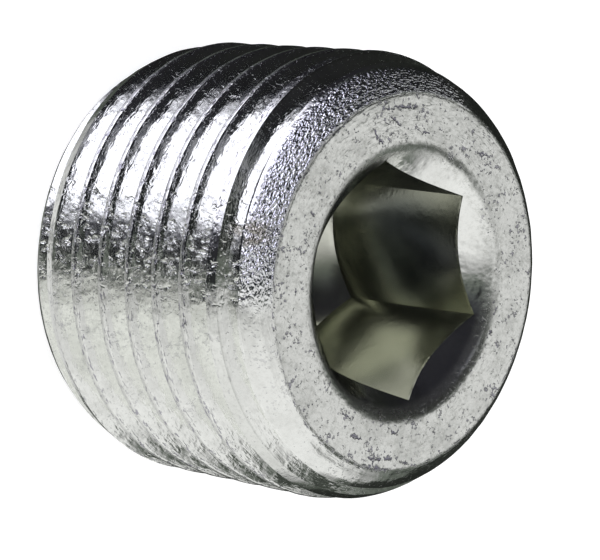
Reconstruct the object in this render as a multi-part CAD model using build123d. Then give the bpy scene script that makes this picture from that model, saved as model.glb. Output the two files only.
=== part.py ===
from build123d import *
import math
import os

# Taper pipe plug with a hexagon socket, turned or forged in one piece.
# The origin is the centre of the small flat end, +Z runs along the axis to the socket face
# and +X points at one corner of the hexagon. All sizes are in millimetres and degrees.

# Body
length = 15.0
face_radius = 8.82
shoulder_length = 3.1
shoulder_mid_drop = 1.5
shoulder_mid_radius = 10.09
shoulder_bands = 5
end_radius = 9.29
lead_length = 2.2

# Taper thread, 14 threads to the inch, taper 1 in 16 on the diameter
pitch = 1.8143
major_radius_at_face = 10.69
taper_per_side = 1 / 32
flank_angle = 27.5
thread_depth = 0.64033 * pitch
first_groove_height = 0.66
cutter_rise = 0.12

# Hexagon socket
across_flats = 10.0
corner_depth = 8.5
ring_radius = 4.8
drill_point_angle = 118
countersink_radius = 6.38
countersink_angle = 100
rim_rounding = 1.0
rim_bands = 2


# Radius of the thread crests at a height above the small end
def crest_radius(height):
    return major_radius_at_face - (length - height) * taper_per_side


# Solid of revolution about Z from a closed outline of lines and arcs in the XZ plane
def turned(edges):
    outline = make_face(Plane.XZ * (Curve() + edges))
    return revolve(outline, Axis.Z, 360)


# Short straight steps along an arc, which keep the facets of a small rounding few
def banded(arc, count):
    return [Line(arc @ (step / count), arc @ ((step + 1) / count)) for step in range(count)]


# Plain body with its lead taper at the small end and its rounded shoulder at the face
def plain_body():
    shoulder_start = length - shoulder_length
    a = (0, 0)
    b = (end_radius, 0)
    c = (crest_radius(lead_length), lead_length)
    d = (crest_radius(shoulder_start), shoulder_start)
    e = (shoulder_mid_radius, length - shoulder_mid_drop)
    f = (face_radius, length)
    g = (0, length)
    shoulder = banded(ThreePointArc(d, e, f), shoulder_bands)
    return turned([Line(a, b), Line(b, c), Line(c, d), *shoulder, Line(f, g), Line(g, a)])


# Cutter for one turn of the thread groove, a trapezium carried along a conical helix
def groove_turn(number):
    start = first_groove_height + number * pitch
    root = crest_radius(start) - thread_depth
    slope = math.tan(math.radians(flank_angle))
    half_root = pitch / 4 - thread_depth * slope / 2
    half_top = half_root + (thread_depth + cutter_rise) * slope
    top = thread_depth + cutter_rise
    corners = [(0, -half_root), (top, -half_top), (top, half_top), (0, half_root)]
    section = Plane.XZ * Pos(root, start) * make_face(Polyline(*corners, close=True))
    cone_angle = math.degrees(math.atan(taper_per_side))
    path = Pos(0, 0, start) * Helix(pitch, pitch, root, cone_angle=cone_angle)
    return sweep(section, path=path, is_frenet=True)


# Body with the thread groove, which starts below the small end and runs out on the shoulder
def threaded(body):
    first = math.floor(-(first_groove_height + pitch / 2) / pitch)
    last = math.ceil((length + pitch / 2 - first_groove_height) / pitch)
    for number in range(first, last):
        body = body - groove_turn(number)
    return body


# Hexagon socket with a slanted ring and a drill point at its bottom
def socket():
    corner_radius = across_flats / 2 / math.cos(math.radians(30))
    ring_depth = corner_depth + corner_radius - ring_radius
    point_depth = ring_depth + ring_radius / math.tan(math.radians(drill_point_angle / 2))
    above = length + 1
    outer = corner_radius + 1
    a = (0, length - point_depth)
    b = (ring_radius, length - ring_depth)
    c = (outer, length - corner_depth + outer - corner_radius)
    d = (outer, above)
    e = (0, above)
    bottom = turned([Line(a, b), Line(b, c), Line(c, d), Line(d, e), Line(e, a)])
    hexagon = RegularPolygon(corner_radius, 6)
    prism = extrude(hexagon, above)
    return prism & bottom


# Countersink at the socket's mouth, its rim rounded into the face
def countersink():
    slope = math.radians(90 - countersink_angle / 2)
    tangent = rim_rounding * math.tan(slope / 2)
    apex = length - countersink_radius * math.tan(slope)
    above = length + 1
    a = (0, apex)
    b = (countersink_radius - tangent * math.cos(slope), length - tangent * math.sin(slope))
    c = (countersink_radius + tangent, length)
    d = (countersink_radius + tangent, above)
    e = (0, above)
    half = slope / 2
    crown = (c[0] - rim_rounding * math.sin(half), length - rim_rounding * (1 - math.cos(half)))
    rim = banded(ThreePointArc(b, crown, c), rim_bands)
    return turned([Line(a, b), *rim, Line(c, d), Line(d, e), Line(e, a)])


def plug_body():
    body = threaded(plain_body())
    body = body - countersink()
    return body - socket()


os.makedirs("parts", exist_ok=True)
plug = plug_body()
plug.label = "plug_body"
export_step(plug, "parts/plug_body.step")
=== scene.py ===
import bpy
import math
from mathutils import Matrix, Vector


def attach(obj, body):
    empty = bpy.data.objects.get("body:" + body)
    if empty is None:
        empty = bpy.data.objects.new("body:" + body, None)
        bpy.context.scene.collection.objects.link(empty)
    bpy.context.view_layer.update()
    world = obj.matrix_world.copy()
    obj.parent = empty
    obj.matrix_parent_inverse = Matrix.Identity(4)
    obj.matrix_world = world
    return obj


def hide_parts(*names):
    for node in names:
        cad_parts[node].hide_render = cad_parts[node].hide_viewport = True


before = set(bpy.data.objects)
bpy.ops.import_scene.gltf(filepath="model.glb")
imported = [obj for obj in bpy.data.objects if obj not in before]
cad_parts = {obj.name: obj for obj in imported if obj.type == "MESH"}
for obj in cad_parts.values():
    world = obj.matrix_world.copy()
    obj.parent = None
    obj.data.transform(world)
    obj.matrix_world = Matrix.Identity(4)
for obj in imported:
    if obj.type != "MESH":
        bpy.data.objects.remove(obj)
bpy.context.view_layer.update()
print("frame loaded")

def deselectAll():
    if bpy.context.object and bpy.context.object.mode != "OBJECT":
        bpy.ops.object.mode_set(mode="OBJECT")
    bpy.ops.object.select_all(action="DESELECT")


def pick(piece):
    deselectAll()
    piece.select_set(True)
    bpy.context.view_layer.objects.active = piece


# A wire outline in the XZ plane, drawn from one vertex by extruding it from point to point
def drawOutline(name, points):
    deselectAll()
    bpy.ops.mesh.primitive_plane_add(size=0.1, location=(0, 0, 0))
    wire = bpy.context.object
    wire.name = name
    bpy.ops.object.mode_set(mode="EDIT")
    bpy.ops.mesh.select_mode(type="VERT")
    bpy.ops.mesh.select_all(action="SELECT")
    bpy.ops.mesh.merge(type="CENTER")
    here = Vector((0, 0, 0))
    first = Vector((points[0][0], 0, points[0][1]))
    bpy.ops.transform.translate(value=first - here)
    here = first
    for radius, height in points[1:]:
        there = Vector((radius, 0, height))
        bpy.ops.mesh.extrude_region_move(TRANSFORM_OT_translate={"value": there - here})
        here = there
    bpy.ops.object.mode_set(mode="OBJECT")
    return wire


# Points of a polyline whose corners are rounded: each corner is (radius, height, rounding)
def roundedCorners(corners, steps):
    points = []
    for i, (x, z, *rounding) in enumerate(corners):
        here = Vector((x, z))
        rounding = rounding[0] if rounding else 0
        if rounding == 0 or i in (0, len(corners) - 1):
            points.append((x, z))
            continue
        before = (Vector(corners[i - 1][:2]) - here).normalized()
        after = (Vector(corners[i + 1][:2]) - here).normalized()
        half = before.angle(after) / 2
        reach = rounding / math.tan(half)
        centre = here + (before + after).normalized() * rounding / math.sin(half)
        start = here + before * reach - centre
        sweep = (here + after * reach - centre).angle_signed(start)
        for k in range(steps + 1):
            turned = start.copy()
            turned.rotate(Matrix.Rotation(sweep * k / steps, 2))
            points.append(tuple(centre + turned))
    return points


# Extra points along the straight runs, so that no run is longer than the spacing
def divided(points, spacing):
    dense = [points[0]]
    for a, b in zip(points, points[1:]):
        count = max(1, math.ceil(math.dist(a, b) / spacing - 1e-6))
        dense += [tuple(Vector(a).lerp(Vector(b), k / count)) for k in range(1, count + 1)]
    return dense


def applyModifier(piece, kind, **settings):
    pick(piece)
    modifier = piece.modifiers.new(kind.title(), kind)
    for key, value in settings.items():
        setattr(modifier, key, value)
    bpy.ops.object.modifier_apply(modifier=modifier.name)


def outwards(piece):
    pick(piece)
    bpy.ops.object.mode_set(mode="EDIT")
    bpy.ops.mesh.select_all(action="SELECT")
    bpy.ops.mesh.remove_doubles(threshold=0.0005)
    bpy.ops.mesh.normals_make_consistent(inside=False)
    bpy.ops.object.mode_set(mode="OBJECT")


# The plug is modelled in millimetres and brought to metres at the end
thread = {
    "pitch": 1.8143,
    "crestAtEnd": 10.2213,  # crest radius at the small end
    "taper": 1 / 32,
    "depth": 1.1617,
    "flank": 27.5,
    "grooveHeight": 0.66,  # middle of the first groove on the +X side
    "crestRounding": 0.14,
    "rootRounding": 0.2,
    "stepsPerTurn": 208,
    "turnsBelow": 2,
    "turns": 12,
}


# Rod with the tapered thread, cut square above and below the plug
def makeThreadRod():
    t = thread
    slope = math.tan(math.radians(t["flank"]))
    rootHalf = t["pitch"] / 4 - t["depth"] * slope / 2
    flankRise = t["depth"] * slope
    crest = t["crestAtEnd"]
    root = crest - t["depth"]
    start = t["grooveHeight"] - t["turnsBelow"] * t["pitch"]
    corners = [
        (root, start, 0),
        (root, start + rootHalf, t["rootRounding"]),
        (crest, start + rootHalf + flankRise, t["crestRounding"]),
        (crest, start + t["pitch"] - rootHalf - flankRise, t["crestRounding"]),
        (root, start + t["pitch"] - rootHalf, t["rootRounding"]),
        (root, start + t["pitch"], 0),
    ]
    outline = divided(roundedCorners(corners, 4), 0.33)
    rod = drawOutline("threadRod", outline)
    applyModifier(rod, "SCREW", angle=math.tau, screw_offset=t["pitch"], iterations=t["turns"],
                  steps=t["stepsPerTurn"], render_steps=t["stepsPerTurn"], use_merge_vertices=True,
                  merge_threshold=0.001, use_smooth_shade=True)
    height = rod.dimensions.z
    applyModifier(rod, "SIMPLE_DEFORM", deform_method="TAPER", deform_axis="Z",
                  factor=t["taper"] / t["crestAtEnd"] * height)
    for level, clear in ((-0.6, {"clear_inner": True}), (15.6, {"clear_outer": True})):
        pick(rod)
        bpy.ops.object.mode_set(mode="EDIT")
        bpy.ops.mesh.select_all(action="SELECT")
        bpy.ops.mesh.bisect(plane_co=(0, 0, level), plane_no=(0, 0, 1), **clear)
        bpy.ops.mesh.select_all(action="DESELECT")
        bpy.ops.mesh.select_non_manifold()
        bpy.ops.object.mode_set(mode="OBJECT")
        for edge in rod.data.edges:
            edge.select = edge.select and all(abs(rod.data.vertices[i].co.z - level) < 0.001 for i in edge.vertices)
        bpy.ops.object.mode_set(mode="EDIT")
        bpy.ops.mesh.edge_face_add()
        bpy.ops.object.mode_set(mode="OBJECT")
    outwards(rod)
    return rod


blank = {
    "height": 15.0,
    "endRadius": 9.29,
    "lead": [(9.29, 0.0), (9.60, 0.5), (9.82, 1.0), (10.05, 1.6), (10.28, 2.2), (10.66, 3.3)],
    "shoulder": [(10.75, 10.6), (10.60, 11.9), (10.38, 12.8), (10.09, 13.5), (9.81, 14.1), (9.37, 14.6), (8.97, 14.88)],
    "faceRounding": 0.45,
    "sinkRadius": 6.38,
    "sinkAngle": 100,
    "rimRounding": 1.0,
    "stepsRound": 256,
}


# Smooth line through a few given points, by way of a curve with automatic handles
def smoothLine(points, resolution):
    curve = bpy.data.curves.new("smoothLine", "CURVE")
    curve.dimensions = "2D"
    spline = curve.splines.new("BEZIER")
    spline.bezier_points.add(len(points) - 1)
    for place, (x, z) in zip(spline.bezier_points, points):
        place.co = (x, z, 0)
        place.handle_left_type = place.handle_right_type = "AUTO"
    spline.resolution_u = resolution
    line = bpy.data.objects.new("smoothLine", curve)
    bpy.context.scene.collection.objects.link(line)
    bpy.context.view_layer.update()
    mesh = line.to_mesh()
    result = [(v.co.x, v.co.y) for v in mesh.vertices]
    line.to_mesh_clear()
    bpy.data.objects.remove(line)
    return result


# Turned blank: small end, lead, clear of the crests, shoulder, face and countersink
def makeBlank():
    b = blank
    slope = math.radians(90 - b["sinkAngle"] / 2)
    apex = b["height"] - b["sinkRadius"] * math.tan(slope)
    lead = smoothLine(b["lead"], 6)
    shoulder = smoothLine(b["shoulder"], 6)
    rim = roundedCorners([shoulder[-2], (8.82, b["height"], b["faceRounding"]), (8.0, b["height"], 0)], 5)
    mouth = roundedCorners([(8.82, 15, 0), (b["sinkRadius"], b["height"], b["rimRounding"]), (0.0, apex, 0)], 10)
    face = divided([rim[-2], mouth[1]], 0.2)
    cone = divided([mouth[-2], (2.0, apex + 2.0 * math.tan(slope))], 0.3) + [(0.0, apex)]
    under = divided([(0.0, 0.0), (7.0, 0.0), (b["endRadius"], 0.0)], 0.8)
    points = under[:-1] + lead + [(11.3, 4.4), (11.3, 9.4)] + shoulder[:-1] + rim[1:-2] + face + mouth[2:-2] + cone
    body = drawOutline("blank", points)
    pick(body)
    bpy.ops.object.mode_set(mode="EDIT")
    bpy.ops.mesh.select_all(action="SELECT")
    bpy.ops.mesh.spin(steps=b["stepsRound"], angle=math.tau, center=(0, 0, 0), axis=(0, 0, 1), use_auto_merge=True)
    bpy.ops.object.mode_set(mode="OBJECT")
    outwards(body)
    return body


socket = {
    "acrossFlats": 10.0,
    "cornerDepth": 8.5,
    "ringRadius": 4.8,
    "drillAngle": 118,
}


# Tool for the socket: a hexagon bar whose lower end is turned to a slanted ring and a drill point
def makeSocketTool():
    s = socket
    top = 16.0
    corner = s["acrossFlats"] / 2 / math.cos(math.radians(30))
    ringHeight = blank["height"] - s["cornerDepth"] - (corner - s["ringRadius"])
    apex = ringHeight - s["ringRadius"] / math.tan(math.radians(s["drillAngle"] / 2))
    deselectAll()
    bpy.ops.mesh.primitive_cylinder_add(vertices=6, radius=corner, depth=top - 1, location=(0, 0, (top + 1) / 2),
                                        rotation=(0, 0, math.radians(30)))
    bar = bpy.context.object
    bar.name = "socketBar"
    bpy.ops.object.transform_apply(location=True, rotation=True, scale=True)
    points = [(0.0, apex), (s["ringRadius"], ringHeight), (corner + 1, ringHeight + corner + 1 - s["ringRadius"]),
              (corner + 1, top + 1), (0.0, top + 1)]
    end = drawOutline("socketEnd", divided(points, 1.2))
    pick(end)
    bpy.ops.object.mode_set(mode="EDIT")
    bpy.ops.mesh.select_all(action="SELECT")
    bpy.ops.mesh.spin(steps=96, angle=math.tau, center=(0, 0, 0), axis=(0, 0, 1), use_auto_merge=True)
    bpy.ops.object.mode_set(mode="OBJECT")
    outwards(end)
    applyModifier(bar, "BOOLEAN", operation="INTERSECT", object=end, solver="EXACT")
    bpy.data.objects.remove(end)
    return bar


def makePlug():
    plug = makeThreadRod()
    body = makeBlank()
    tool = makeSocketTool()
    applyModifier(plug, "BOOLEAN", operation="INTERSECT", object=body, solver="EXACT")
    applyModifier(plug, "BOOLEAN", operation="DIFFERENCE", object=tool, solver="EXACT")
    bpy.data.objects.remove(body)
    bpy.data.objects.remove(tool)
    plug.name = "plugBody"
    plug.data.name = "plugBody"
    outside = plug.vertex_groups.new(name="outside")
    outside.add([v.index for v in plug.data.vertices if v.co.xy.length > 8.95], 1.0, "REPLACE")
    swells = bpy.data.textures.new("swells", "CLOUDS")
    swells.noise_scale = 0.8
    swells.noise_depth = 1
    applyModifier(plug, "DISPLACE", texture=swells, texture_coords="LOCAL", strength=0.035, mid_level=0.5,
                  vertex_group="outside")
    bpy.data.textures.remove(swells)
    pick(plug)
    bpy.ops.transform.resize(value=(0.001, 0.001, 0.001))
    bpy.ops.object.transform_apply(location=True, rotation=True, scale=True)
    bpy.ops.object.shade_smooth_by_angle(angle=math.radians(32))
    return plug


plugBody = makePlug()
print("plug:", len(plugBody.data.vertices), "vertices", sum(len(p.vertices) - 2 for p in plugBody.data.polygons), "triangles")


def addNode(tree, kind, **settings):
    node = tree.nodes.new(kind)
    for key, value in settings.items():
        setattr(node, key, value)
    return node


# Links a value to a socket, or sets the socket to it where it is a plain number, vector or colour
def feed(tree, socket, value):
    if isinstance(value, bpy.types.NodeSocket):
        tree.links.new(value, socket)
    elif value is not None:
        socket.default_value = value


def addMath(tree, operation, first, second=None, clamp=False):
    node = addNode(tree, "ShaderNodeMath", operation=operation, use_clamp=clamp)
    feed(tree, node.inputs[0], first)
    feed(tree, node.inputs[1], second)
    return node.outputs[0]


def addVectorMath(tree, operation, first, second=None, result=0):
    node = addNode(tree, "ShaderNodeVectorMath", operation=operation)
    feed(tree, node.inputs[0], first)
    feed(tree, node.inputs[1], second)
    return node.outputs[result]


# Rises smoothly from 0 to 1 as the value goes from low to high, or falls where low is the larger
def addStep(tree, value, low, high):
    node = addNode(tree, "ShaderNodeMapRange", interpolation_type="SMOOTHSTEP", clamp=False)
    feed(tree, node.inputs["Value"], value)
    node.inputs["From Min"].default_value = low
    node.inputs["From Max"].default_value = high
    return node.outputs[0]


def addBlend(tree, share, first, second):
    node = addNode(tree, "ShaderNodeMix", data_type="FLOAT")
    for index, value in zip((0, 2, 3), (share, first, second)):
        feed(tree, node.inputs[index], value)
    return node.outputs[0]


def addTint(tree, share, first, second):
    node = addNode(tree, "ShaderNodeMix", data_type="RGBA")
    for index, value in zip((0, 6, 7), (share, first, second)):
        feed(tree, node.inputs[index], value)
    return node.outputs[2]


def addNoise(tree, vector, scale, detail=2.0, roughness=0.5):
    node = addNode(tree, "ShaderNodeTexNoise")
    feed(tree, node.inputs["Vector"], vector)
    node.inputs["Scale"].default_value = scale
    node.inputs["Detail"].default_value = detail
    node.inputs["Roughness"].default_value = roughness
    return node.outputs[0]


# Scattered round spots of mixed sizes, 1 inside a spot: spacing is per millimetre
def addSpots(tree, vector, spacing, size, rarity):
    node = addNode(tree, "ShaderNodeTexVoronoi")
    feed(tree, node.inputs["Vector"], vector)
    node.inputs["Scale"].default_value = spacing
    lot = addNode(tree, "ShaderNodeSeparateColor")
    feed(tree, lot.inputs[0], node.outputs["Color"])
    radius = addMath(tree, "MULTIPLY", addMath(tree, "SUBTRACT", lot.outputs[0], rarity), size / (1 - rarity))
    return addStep(tree, addMath(tree, "SUBTRACT", radius, node.outputs["Distance"]), -0.02, 0.06)


# 1 over a stretch round the plug: around is the direction from the axis, the angles are in degrees
def addStretch(tree, around, middle, full, whole):
    turn = math.radians(middle)
    near = addVectorMath(tree, "DOT_PRODUCT", around, (math.cos(turn), math.sin(turn), 0), result=1)
    return addStep(tree, near, math.cos(math.radians(whole)), math.cos(math.radians(full)))


# 1 along a straight mark on the socket face, fading over its width: places are (x, y) in millimetres
def addMark(tree, place, start, end, width):
    a = Vector((*start, 15))
    run = Vector((*end, 15)) - a
    away = addVectorMath(tree, "SUBTRACT", place, tuple(a))
    along = addVectorMath(tree, "DOT_PRODUCT", away, tuple(run / run.length_squared), result=1)
    share = addMath(tree, "MINIMUM", addMath(tree, "MAXIMUM", along, 0.0), 1.0)
    nearest = addNode(tree, "ShaderNodeVectorMath", operation="SCALE")
    nearest.inputs[0].default_value = run
    feed(tree, nearest.inputs["Scale"], share)
    gap = addVectorMath(tree, "DISTANCE", away, nearest.outputs[0], result=1)
    return addStep(tree, gap, width, width * 0.2)


# Bright zinc on cold-worked steel: sizes and heights in millimetres
zinc = {
    "colour": (0.83, 0.84, 0.81, 1),
    "dullColour": (0.52, 0.53, 0.50, 1),
    # painted shade: the socket's recess darker inside, and darker still in a patch on one wall
    "socketShadeColour": (0.67, 0.68, 0.60, 1),
    "paintedShadeColour": (0.22, 0.24, 0.26, 1),
    # bluish painted reflection tint for the shot skin
    "shotReflectionTint": (0.80, 0.81, 0.85, 1),
    # dark colour of the specks, pits and marks, also used as painted shade along crest and rim edges
    "speckAndShadeColour": (0.16, 0.15, 0.22, 1),
    "stainColour": (0.38, 0.35, 0.28, 1),
    "roughness": 0.10,
    "faceRoughness": 0.24,
    "crestRoughness": 0.18,
    "socketRoughness": 0.16,
    "grainHeight": 0.011,
    "faceGrainHeight": 0.014,
    "socketGrainHeight": 0.003,
    "crestGrainHeight": 0.016,
    "shotHeight": 0.24,
    "markDepth": 0.02,
    "dimpleDepth": 0.05,
    "shoulderCentre": (6.0355, 11.3549),  # radius and height of the middle of the shoulder's arc
    "shoulderArc": 4.587,
    "faceEdge": 8.82,
    "stainPlace": (9.68, 0.60, 14.15),
    "shotStretch": (-38, 48, 65),  # middle of the rough stretch, its full and its whole half-width in degrees
    "pittedStretch": (9, 7, 17),
    "topStretch": (-66, 22, 36),
    # centre of the painted patch of shade on the socket wall
    "paintedShadePlace": (-4.3, -2.4, 10.4),
    "marks": [
        ((3.82, -6.88), (3.08, -6.67), 0.07),
        ((4.71, -5.93), (3.90, -5.55), 0.08), ((4.38, -5.67), (4.13, -5.58), 0.12), ((3.71, -6.00), (3.33, -6.23), 0.06),
        ((1.46, -6.76), (1.39, -6.99), 0.07), ((1.39, -6.99), (1.02, -6.85), 0.08), ((-0.57, -6.36), (-0.88, -6.45), 0.12),
        ((0.76, -5.90), (0.62, -5.93), 0.11), ((-2.78, -6.98), (-2.90, -7.16), 0.06), ((-2.90, -7.16), (-3.14, -7.14), 0.07),
        ((7.26, -1.16), (7.08, -1.12), 0.12), ((-6.58, 0.69), (-6.71, 0.55), 0.12), ((7.01, 2.34), (6.86, 2.53), 0.07),
        ((-5.09, -3.68), (-5.10, -3.93), 0.08), ((-1.79, 6.83), (-2.15, 6.63), 0.08),
        ((1.89, 6.79), (1.07, 7.01), 0.08), ((-0.69, 8.30), (-1.38, 8.19), 0.12), ((-1.69, 8.04), (-2.16, 7.94), 0.10),
        ((-0.87, 8.37), (-1.25, 8.70), 0.06), ((-0.48, 8.70), (-0.90, 8.74), 0.10), ((-1.30, 8.66), (-2.00, 8.56), 0.12),
        ((0.91, 7.59), (0.24, 7.63), 0.11), ((-1.68, 6.76), (-2.14, 6.78), 0.09), ((-2.83, 7.93), (-3.34, 7.92), 0.09),
        ((4.49, -7.01), (3.49, -7.44), 0.08), ((3.49, -7.44), (2.40, -7.83), 0.11), ((-2.56, -7.06), (-3.20, -7.16), 0.08),
    ],
}


def makeZinc():
    z = zinc
    material = bpy.data.materials.new("zincPlatedSteel")
    material.use_nodes = True
    tree = material.node_tree
    shader = tree.nodes["Principled BSDF"]
    shader.inputs["Metallic"].default_value = 1.0

    place = addVectorMath(tree, "MULTIPLY", addNode(tree, "ShaderNodeTexCoord").outputs["Object"], (1000, 1000, 1000))
    split = addNode(tree, "ShaderNodeSeparateXYZ")
    feed(tree, split.inputs[0], place)
    x, y, height = split.outputs
    radius = addVectorMath(tree, "LENGTH", addVectorMath(tree, "MULTIPLY", place, (1, 1, 0)), result=1)

    # regions: face, shoulder's rough skin, thread crests, socket
    onFace = addStep(tree, height, 14.94, 14.985)
    fromCentre = addNode(tree, "ShaderNodeCombineXYZ")
    feed(tree, fromCentre.inputs[0], addMath(tree, "SUBTRACT", radius, z["shoulderCentre"][0]))
    feed(tree, fromCentre.inputs[1], addMath(tree, "SUBTRACT", height, z["shoulderCentre"][1]))
    toArc = addMath(tree, "SUBTRACT", addVectorMath(tree, "LENGTH", fromCentre.outputs[0], result=1), z["shoulderArc"])
    onShoulder = addMath(tree, "MULTIPLY", addStep(tree, toArc, -0.16, -0.05), addStep(tree, height, 13.7, 14.1))
    onShoulder = addMath(tree, "MULTIPLY", onShoulder, addMath(tree, "SUBTRACT", 1.0, onFace))
    around = addVectorMath(tree, "NORMALIZE", addVectorMath(tree, "MULTIPLY", place, (1, 1, 0)))
    onShoulder = addMath(tree, "MULTIPLY", onShoulder, addStretch(tree, around, *z["shotStretch"]))
    crest = addMath(tree, "ADD", addMath(tree, "MULTIPLY", height, thread["taper"]), thread["crestAtEnd"])
    onCrest = addStep(tree, addMath(tree, "SUBTRACT", radius, crest), -0.035, -0.005)
    sinkHeight = addMath(tree, "ADD", addMath(tree, "MULTIPLY", addMath(tree, "SUBTRACT", radius, blank["sinkRadius"]),
                                              math.tan(math.radians(90 - blank["sinkAngle"] / 2))), blank["height"])
    below = addMath(tree, "SUBTRACT", sinkHeight, height)
    inSocket = addMath(tree, "MULTIPLY", addStep(tree, below, 0.03, 0.14), addStep(tree, radius, 6.4, 6.1))

    # grain that runs round the plug, as the tools left it, and a rough cast of shot on the shoulder
    across = addMath(tree, "SUBTRACT", height, radius)
    lay = addNode(tree, "ShaderNodeCombineXYZ")
    for socketOut, value in zip(lay.inputs, (addMath(tree, "MULTIPLY", x, 0.38), addMath(tree, "MULTIPLY", y, 0.38), across)):
        feed(tree, socketOut, value)
    grain = addNoise(tree, lay.outputs[0], 6.5, 1.5, 0.5)
    flecks = addNoise(tree, place, 4.0, 1.0)
    patches = addStep(tree, addNoise(tree, place, 0.9, 2.0), 0.42, 0.66)
    grain = addMath(tree, "ADD", grain, addMath(tree, "MULTIPLY", flecks, 0.6))
    grain = addMath(tree, "MULTIPLY", grain, addMath(tree, "ADD", 0.5, patches))
    shot = addNoise(tree, addVectorMath(tree, "ADD", lay.outputs[0], addVectorMath(tree, "MULTIPLY", place, (0.3, 0.3, 0))),
                    6.0, 1.5, 0.5)
    grainHeight = addBlend(tree, onFace, z["grainHeight"], z["faceGrainHeight"])
    grainHeight = addBlend(tree, addStep(tree, radius, 8.7, 8.5), grainHeight, z["faceGrainHeight"])
    grainHeight = addBlend(tree, inSocket, grainHeight, z["socketGrainHeight"])
    grainHeight = addBlend(tree, onCrest, grainHeight, z["crestGrainHeight"])
    level = addMath(tree, "MULTIPLY", grain, grainHeight)
    level = addMath(tree, "ADD", level, addMath(tree, "MULTIPLY", addMath(tree, "MULTIPLY", shot, onShoulder), z["shotHeight"]))

    # specks, pits and the marks on the face
    wander = addNode(tree, "ShaderNodeTexNoise")
    feed(tree, wander.inputs["Vector"], place)
    wander.inputs["Scale"].default_value = 4.0
    bent = addVectorMath(tree, "ADD", place, addVectorMath(tree, "MULTIPLY", wander.outputs["Color"], (0.35, 0.35, 0.35)))
    crowd = addMath(tree, "MULTIPLY", addNoise(tree, place, 0.8, 1.0), 0.35)
    specks = addStep(tree, addMath(tree, "ADD", addNoise(tree, place, 5.5, 2.5, 0.6), crowd), 0.79, 0.86)
    pits = addSpots(tree, bent, 1.3, 0.16, 0.80)
    spots = addMath(tree, "MULTIPLY", addMath(tree, "MAXIMUM", specks, pits), addStep(tree, radius, 5.9, 6.3))
    spots = addMath(tree, "MULTIPLY", spots, addBlend(tree, addStep(tree, radius, 8.7, 9.0), 1.0, 0.3))
    dimples = addStep(tree, addNoise(tree, bent, 3.0, 1.0), 0.56, 0.84)
    pitted = addMath(tree, "MAXIMUM", addStretch(tree, around, *z["pittedStretch"]),
                     addMath(tree, "MULTIPLY", addStretch(tree, around, *z["topStretch"]), 0.35))
    dimples = addMath(tree, "MULTIPLY", dimples, addMath(tree, "MULTIPLY", pitted, addStep(tree, radius, 8.9, 9.1)))
    stray = addVectorMath(tree, "MULTIPLY", addVectorMath(tree, "SUBTRACT", wander.outputs["Color"], (0.5, 0.5, 0.5)), (0.5, 0.5, 0))
    frayed = addVectorMath(tree, "ADD", place, stray)
    marks = None
    for start, end, width in z["marks"]:
        mark = addMark(tree, frayed, start, end, width)
        marks = mark if marks is None else addMath(tree, "MAXIMUM", marks, mark)
    broken = addStep(tree, addNoise(tree, place, 6.0, 1.0), 0.30, 0.50)
    marks = addMath(tree, "MULTIPLY", marks, broken)
    # nicks along the crest edges and the face's rim: dented in the bump and darkened with painted shade
    nearCrest = addStep(tree, addMath(tree, "SUBTRACT", crest, radius), 0.20, 0.06)
    fromRim = addMath(tree, "ABSOLUTE", addMath(tree, "SUBTRACT", radius, z["faceEdge"]))
    nearRim = addMath(tree, "MULTIPLY", addStep(tree, fromRim, 0.16, 0.05), addStep(tree, height, 14.7, 14.8))
    nicksAndPaintedShade = addStep(tree, addNoise(tree, lay.outputs[0], 7.0, 2.5, 0.6), 0.53, 0.66)
    nicksAndPaintedShade = addMath(tree, "MULTIPLY", nicksAndPaintedShade, addMath(tree, "MAXIMUM", nearCrest, nearRim))
    hollowsAndPaintedShade = addMath(tree, "MAXIMUM", marks, addMath(tree, "MULTIPLY", addMath(tree, "MAXIMUM", spots, nicksAndPaintedShade), 0.75))
    level = addMath(tree, "SUBTRACT", level, addMath(tree, "MULTIPLY", hollowsAndPaintedShade, z["markDepth"]))
    level = addMath(tree, "SUBTRACT", level, addMath(tree, "MULTIPLY", dimples, z["dimpleDepth"]))
    bump = addNode(tree, "ShaderNodeBump")
    bump.inputs["Distance"].default_value = 0.001
    feed(tree, bump.inputs["Height"], level)
    tree.links.new(bump.outputs[0], shader.inputs["Normal"])

    # colour: cloudy plating, painted shade deep in the socket with a darker painted patch on one wall, specks, marks
    # and one brown stain
    cloud = addStep(tree, addNoise(tree, place, 0.55, 4.0, 0.6), 0.42, 0.75)
    mottle = addStep(tree, addNoise(tree, place, 4.5, 3.0, 0.7), 0.42, 0.72)
    onRim = addMath(tree, "MULTIPLY", addStep(tree, radius, 5.75, 6.05), addStep(tree, radius, 7.0, 6.5))
    uneven = addMath(tree, "ADD", addMath(tree, "MULTIPLY", onFace, 0.40), 0.25)
    uneven = addMath(tree, "ADD", uneven, addMath(tree, "MULTIPLY", onRim, 0.5))
    dull = addMath(tree, "ADD", addMath(tree, "MULTIPLY", cloud, 0.30), addMath(tree, "MULTIPLY", mottle, uneven))
    onTurning = addMath(tree, "MULTIPLY", addStep(tree, toArc, -0.10, -0.04), addStep(tree, height, 11.6, 11.9))
    worn = addMath(tree, "MAXIMUM", onCrest, addMath(tree, "MULTIPLY", onTurning, addStep(tree, height, 13.4, 13.0)))
    dull = addMath(tree, "ADD", dull, addMath(tree, "MULTIPLY", worn, 0.45), clamp=True)
    colour = addTint(tree, dull, z["colour"], z["dullColour"])
    # painted bluish reflection tint on the shot skin of the shoulder
    colour = addTint(tree, onShoulder, colour, z["shotReflectionTint"])
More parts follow.
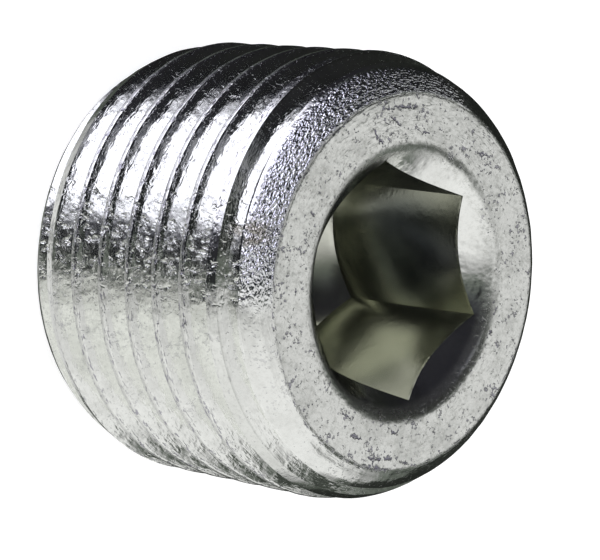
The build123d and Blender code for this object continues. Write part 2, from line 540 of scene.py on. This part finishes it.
    # painted shade inside the socket, darkest round one place on its wall
    inPaintedShade = addStep(tree, addVectorMath(tree, "DISTANCE", place, z["paintedShadePlace"], result=1), 4.4, 1.2)
    colour = addTint(tree, inSocket, colour, addTint(tree, inPaintedShade, z["socketShadeColour"], z["paintedShadeColour"]))
    toStain = addVectorMath(tree, "DISTANCE", place, z["stainPlace"], result=1)
    stain = addMath(tree, "MULTIPLY", addStep(tree, toStain, 1.1, 0.3), addStep(tree, addNoise(tree, place, 2.6, 3.0), 0.35, 0.6))
    colour = addTint(tree, addMath(tree, "MULTIPLY", stain, 0.8), colour, z["stainColour"])
    # specks, pits, marks and nicks darkened; along the crest and rim edges this is painted shade
    colour = addTint(tree, addMath(tree, "MULTIPLY", hollowsAndPaintedShade, 0.85), colour, z["speckAndShadeColour"])
    tree.links.new(colour, shader.inputs["Base Color"])

    rough = addBlend(tree, onFace, z["roughness"], z["faceRoughness"])
    rough = addBlend(tree, onCrest, rough, z["crestRoughness"])
    rough = addBlend(tree, onRim, rough, z["faceRoughness"])
    rough = addBlend(tree, inSocket, rough, z["socketRoughness"])
    rough = addMath(tree, "ADD", rough, addMath(tree, "MULTIPLY", cloud, 0.06))
    tree.links.new(rough, shader.inputs["Roughness"])
    return material


plugBody.data.materials.clear()
plugBody.data.materials.append(makeZinc())
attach(plugBody, "root")
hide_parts("plug_body")


shot = {
    "place": (0.18724824, 0.03580467, 0.18716484),
    "right": (-0.64131261, -0.25775935, 0.72268821),
    "up": (0.27380228, -0.95675242, -0.09827063),
    "back": (0.71676387, 0.13485149, 0.68415249),
    "lens": 331.896,
}


def makeCamera():
    data = bpy.data.cameras.new("camera")
    data.sensor_width = 36
    data.sensor_fit = "HORIZONTAL"
    data.lens = shot["lens"]
    camera = bpy.data.objects.new("camera", data)
    bpy.context.scene.collection.objects.link(camera)
    axes = Matrix((shot["right"], shot["up"], shot["back"])).transposed().to_4x4()
    camera.matrix_world = Matrix.Translation(shot["place"]) @ axes
    bpy.context.scene.camera = camera


makeCamera()


studio = {
    "background": 1.0,
    "brightest": 2.6,
    "floorColour": 0.70,
    "floorGlow": 0.55,
    "shade": (0.88, 1.0, 0.86, 1),  # tint of the dark sides of the studio
    "leftShade": (0.76, 0.76, 1.0, 1),  # and of the dark part on the left
    "cool": (0.87, 0.86, 1.0, 1),  # and of the half-bright part on the left
    # brightness seen by the metal, by direction round the plug in degrees, from straight down to straight up
    "bottom": [(-180, .30), (-150, .20), (-120, .40), (-84, .70), (-36, .90), (-12, .45), (12, .22), (36, .60),
               (60, .65), (84, .85), (108, .75), (150, .70), (180, .30)],
    "under": [(-180, .04), (-156, .05), (-120, .10), (-96, .30), (-80, .70), (-60, 1.3), (-26, 1.2), (-10, .60),
              (2, .30), (12, .20), (20, .22), (28, .45), (36, .65), (60, .70), (96, .80), (112, .80), (149, .74),
              (158, .30), (168, .06), (180, .04)],
    "low": [(-180, .03), (-150, .012), (-84, .02), (-76, .20), (-68, 1.0), (-60, 2.6), (-18, 2.6), (-10, 2.2),
            (-5, 1.0), (-2, .40), (2, .10), (5, .03), (22, .03), (28, .28), (36, .80), (50, 1.08), (98, 1.05),
            (114, .98), (123, .82), (130, .48), (137, .12), (144, .03), (165, .02), (180, .03)],
    "waist": [(-180, .55), (-163, .50), (-153, .05), (-134, .012), (-104, .012), (-90, .02), (-30, .02), (8, .012),
              (20, .03), (32, .45), (45, .82), (60, .92), (110, .95), (136, .88), (144, .50), (151, .22), (160, .10),
              (170, .20), (180, .55)],
    "middle": [(-180, .82), (-165, .78), (-154, .05), (-134, .012), (-104, .012), (-90, .02), (-30, .02), (10, .012),
               (20, .04), (32, .45), (45, .82), (60, .92), (110, .96), (126, .90), (133, .35), (140, .06), (162, .05),
               (171, .45), (180, .84)],
    "top": [(-180, .60), (-165, .50), (-150, .03), (-95, .012), (-86, .03), (-80, .24), (-74, .38), (-68, .28),
            (-62, .05), (-50, .015), (-20, .015), (0, .10), (24, .20), (40, .45), (60, .70), (110, .85), (180, .60)],
    "levels": [("under", -.94, -.88), ("low", -.74, -.60), ("waist", -.02, .08), ("middle", .40, .50), ("top", .78, .88)],
}


# Brightness by direction round the plug
def directionRamp(tree, turn, stops):
    curve = addNode(tree, "ShaderNodeFloatCurve")
    line = curve.mapping.curves[0]
    places = [((degrees + 180) / 360, value / studio["brightest"]) for degrees, value in stops]
    for point, place in zip((line.points[0], line.points[-1]), (places[0], places[-1])):
        point.location = place
    for place in places[1:-1]:
        line.points.new(*place)
    for point in line.points:
        point.handle_type = "VECTOR"
    curve.mapping.update()
    feed(tree, curve.inputs["Value"], turn)
    return addMath(tree, "MULTIPLY", curve.outputs[0], studio["brightest"])


def makeWorld():
    world = bpy.data.worlds.new("studio")
    bpy.context.scene.world = world
    world.use_nodes = True
    tree = world.node_tree
    background = tree.nodes["Background"]
    split = addNode(tree, "ShaderNodeSeparateXYZ")
    feed(tree, split.inputs[0], addNode(tree, "ShaderNodeTexCoord").outputs["Generated"])
    x, y, z = split.outputs
    turn = addMath(tree, "ADD", addMath(tree, "DIVIDE", addMath(tree, "ARCTAN2", y, x), math.tau), 0.5)
    level = directionRamp(tree, turn, studio["bottom"])
    for name, start, end in studio["levels"]:
        level = addBlend(tree, addStep(tree, z, start, end), level, directionRamp(tree, turn, studio[name]))
    metalSees = addNode(tree, "ShaderNodeLightPath").outputs["Is Glossy Ray"]
    feed(tree, background.inputs["Strength"], addBlend(tree, metalSees, studio["background"], level))
    onLeft = addMath(tree, "ADD", addMath(tree, "MULTIPLY", x, 0.64), addMath(tree, "MULTIPLY", y, -0.77))
    onLeft = addStep(tree, onLeft, 0.1, 0.6)
    bright = addTint(tree, onLeft, (1, 1, 1, 1), studio["cool"])
    dark = addTint(tree, onLeft, studio["shade"], studio["leftShade"])
    tint = addTint(tree, addStep(tree, level, 0.1, 0.4), dark, bright)
    feed(tree, background.inputs["Color"], addTint(tree, metalSees, (1, 1, 1, 1), tint))


makeWorld()


# Pale floor with the plug's shadow; the metal's own rays pass it and meet the studio below
def makeFloor():
    deselectAll()
    bpy.ops.mesh.primitive_plane_add(size=3, location=(0, 0, 0))
    floor = bpy.context.object
    floor.name = "floor"
    material = bpy.data.materials.new("paleFloor")
    material.use_nodes = True
    tree = material.node_tree
    tree.nodes.remove(tree.nodes["Principled BSDF"])
    plain = addNode(tree, "ShaderNodeBsdfDiffuse")
    plain.inputs["Color"].default_value = (studio["floorColour"],) * 3 + (1,)
    glow = addNode(tree, "ShaderNodeEmission")
    glow.inputs["Strength"].default_value = studio["floorGlow"]
    pale = addNode(tree, "ShaderNodeAddShader")
    tree.links.new(plain.outputs[0], pale.inputs[0])
    tree.links.new(glow.outputs[0], pale.inputs[1])
    clear = addNode(tree, "ShaderNodeBsdfTransparent")
    choose = addNode(tree, "ShaderNodeMixShader")
    tree.links.new(addNode(tree, "ShaderNodeLightPath").outputs["Is Glossy Ray"], choose.inputs[0])
    tree.links.new(pale.outputs[0], choose.inputs[1])
    tree.links.new(clear.outputs[0], choose.inputs[2])
    tree.links.new(choose.outputs[0], tree.nodes["Material Output"].inputs["Surface"])
    floor.data.materials.append(material)


makeFloor()

bpy.context.scene.view_settings.view_transform = "Standard"
print("scene finished")
